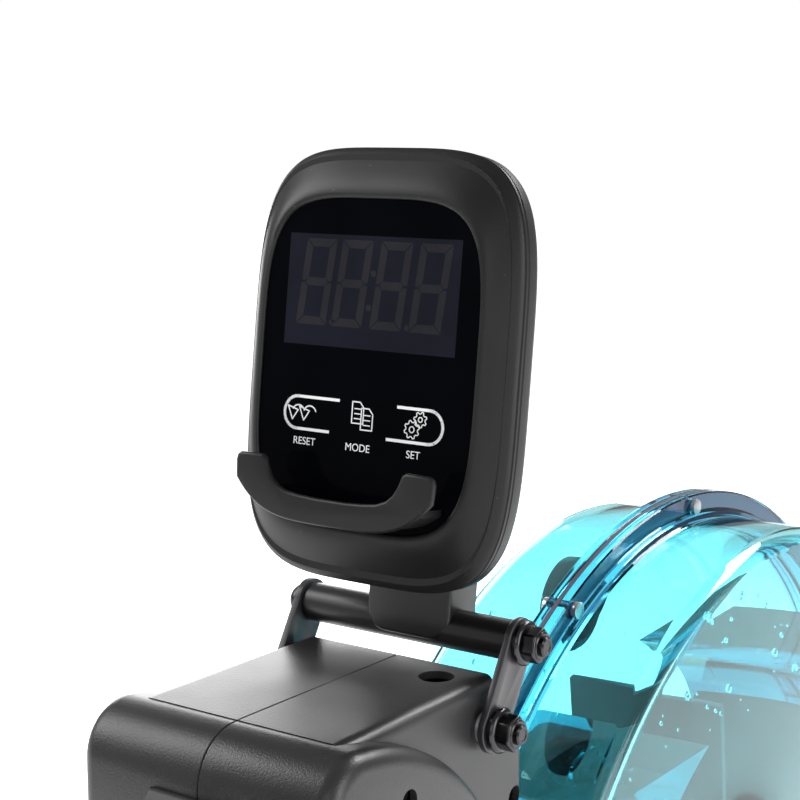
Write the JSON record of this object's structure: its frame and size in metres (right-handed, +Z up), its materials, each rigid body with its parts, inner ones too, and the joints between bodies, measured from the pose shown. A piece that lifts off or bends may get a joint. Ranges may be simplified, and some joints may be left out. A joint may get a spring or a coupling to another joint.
{
  "type": "rowing machine",
  "caption": "Water rowing machine with an upright see-through drum, a strap drive in a black housing, a folding console with a phone lip, and a padded seat on a metal rail.",
  "frame": {"origin": "on the floor under the middle of the whole machine", "axes": "+Y from the seat towards the water drum, +X to the rower's right, +Z up"},
  "size_m": [0.488, 2, 0.7898],
  "materials": {
    "black_steel": "satin powder coat",
    "grey_steel": "satin powder coat",
    "zinc": "bright zinc",
    "dark_bolt": "dark zinc",
    "aluminium": "brushed, clear anodised",
    "abs_black": "fine grain",
    "abs_console": "fine grain",
    "pad_plastic": "moulded nylon",
    "white_nylon": "moulded nylon",
    "rubber": "matt",
    "tyre": "matt",
    "webbing": "woven nylon",
    "vinyl": "grained vinyl over foam",
    "tank_clear": "clear polycarbonate",
    "tank_ring": "blue seal",
    "water": "tinted water",
    "impeller": "moulded",
    "glass": "black backed, glossy",
    "board": "circuit board"
  },
  "bodies": {
    "base": {"front_stabilizer": "black_steel", "front_caps": "pad_plastic", "wheel_axles": "zinc", "main_beam": "black_steel", "pylon": "grey_steel", "pylon_axles": "zinc", "rear_stabilizer": "black_steel", "rear_caps": "pad_plastic", "rear_post": "black_steel", "rail": "aluminium", "rail_end_cap": "pad_plastic", "rail_stops": "rubber", "foot_crossbar": "black_steel", "footplate_left": "pad_plastic", "footplate_right": "pad_plastic", "foot_straps": "webbing", "shroud_left": "abs_black", "shroud_right": "abs_black", "shroud_screws": "dark_bolt", "strap_mouth": "abs_black", "drive_strap": "webbing", "drive_belt": "rubber", "belt_cover": "abs_black", "tank_left": "tank_clear", "tank_right": "tank_clear", "tank_seal": "tank_ring", "flange_screws": "zinc", "tank_water": "water", "tank_cradle": "grey_steel", "lower_pivot": "dark_bolt"},
    "console": {"console_rear": "abs_console", "console_bezel": "abs_console", "console_glass": "glass", "display_board": "board", "phone_cradle": "abs_console", "neck": "black_steel"},
    "links": {"link_left": "black_steel", "link_right": "black_steel", "upper_pivot": "dark_bolt"},
    "wheel_left": {"wheel_left": "tyre"},
    "wheel_right": {"wheel_right": "tyre"},
    "guide": {"guide_pulley": "white_nylon"},
    "spool": {"spool": "white_nylon", "strap_roll": "webbing"},
    "drive": {"drive_axle": "zinc", "drive_pulley": "aluminium"},
    "impeller": {"impeller": "impeller", "impeller_shaft": "zinc", "impeller_pulley": "aluminium"},
    "plug": {"fill_plug": "pad_plastic"},
    "handle": {"handle_bar": "grey_steel", "handle_grips": "rubber", "handle_clip": "zinc"},
    "seat": {"seat_frame": "grey_steel", "seat_base": "abs_black", "seat_cushion": "vinyl"},
    "roller_front": {"roller_front": "white_nylon"},
    "roller_rear": {"roller_rear": "white_nylon"},
    "heel_left": {"heel_cup_left": "pad_plastic"},
    "heel_right": {"heel_cup_right": "pad_plastic"}
  },
  "joints": [
    {"name": "wheel_left_spin", "type": "hinge", "parent": "base", "child": "wheel_left", "pos_m": [-0.192, 0.967, 0.041], "axis": [1, 0, 0], "continuous": true},
    {"name": "wheel_right_spin", "type": "hinge", "parent": "base", "child": "wheel_right", "pos_m": [0.192, 0.967, 0.041], "axis": [1, 0, 0], "continuous": true},
    {"name": "link_swing", "type": "hinge", "parent": "base", "child": "links", "pos_m": [0, 0.4625, 0.57], "axis": [1, 0, 0], "range_deg": [-28, 20]},
    {"name": "console_tilt", "type": "hinge", "parent": "links", "child": "console", "pos_m": [0, 0.48, 0.6], "axis": [1, 0, 0], "range_deg": [-45, 20]},
    {"name": "handle_pull", "type": "slide", "parent": "base", "child": "handle", "axis": [0, -1, 0], "range_m": [0, 1], "stiffness_N_per_m": 16, "springref_m": -0.6, "deforming": ["drive_strap"]},
    {"name": "guide_spin", "type": "hinge", "parent": "base", "child": "guide", "pos_m": [0, 0.403, 0.523], "axis": [1, 0, 0], "continuous": true},
    {"name": "spool_spin", "type": "hinge", "parent": "base", "child": "spool", "pos_m": [0, 0.408, 0.4], "axis": [1, 0, 0], "continuous": true},
    {"name": "drive_spin", "type": "hinge", "parent": "base", "child": "drive", "pos_m": [0, 0.408, 0.4], "axis": [1, 0, 0], "continuous": true},
    {"name": "impeller_spin", "type": "hinge", "parent": "base", "child": "impeller", "pos_m": [0, 0.711, 0.371], "axis": [1, 0, 0], "continuous": true},
    {"name": "plug_pull", "type": "slide", "parent": "base", "child": "plug", "axis": [-1, 0, 0], "range_m": [0, 0.03]},
    {"name": "seat_slide", "type": "slide", "parent": "base", "child": "seat", "axis": [0, -0.9998, 0.0209], "range_m": [0, 0.78]},
    {"name": "roller_front_spin", "type": "hinge", "parent": "seat", "child": "roller_front", "pos_m": [0, 0.07537, 0.34163], "axis": [1, 0, 0], "continuous": true},
    {"name": "roller_rear_spin", "type": "hinge", "parent": "seat", "child": "roller_rear", "pos_m": [0, -0.0746, 0.34477], "axis": [1, 0, 0], "continuous": true},
    {"name": "heel_left_slide", "type": "slide", "parent": "base", "child": "heel_left", "axis": [0, 0.7071, 0.7071], "range_m": [-0.02, 0.04]},
    {"name": "heel_right_slide", "type": "slide", "parent": "base", "child": "heel_right", "axis": [0, 0.7071, 0.7071], "range_m": [-0.02, 0.04]}
  ],
  "couplings": [
    {"joint": "guide_spin", "follows": "handle_pull", "rad_per_m": 32.362},
    {"joint": "spool_spin", "follows": "handle_pull", "rad_per_m": 39.062},
    {"joint": "drive_spin", "follows": "impeller_spin", "ratio": 0.56},
    {"joint": "roller_front_spin", "follows": "seat_slide", "rad_per_m": 55.556},
    {"joint": "roller_rear_spin", "follows": "seat_slide", "rad_per_m": 55.556}
  ]
}
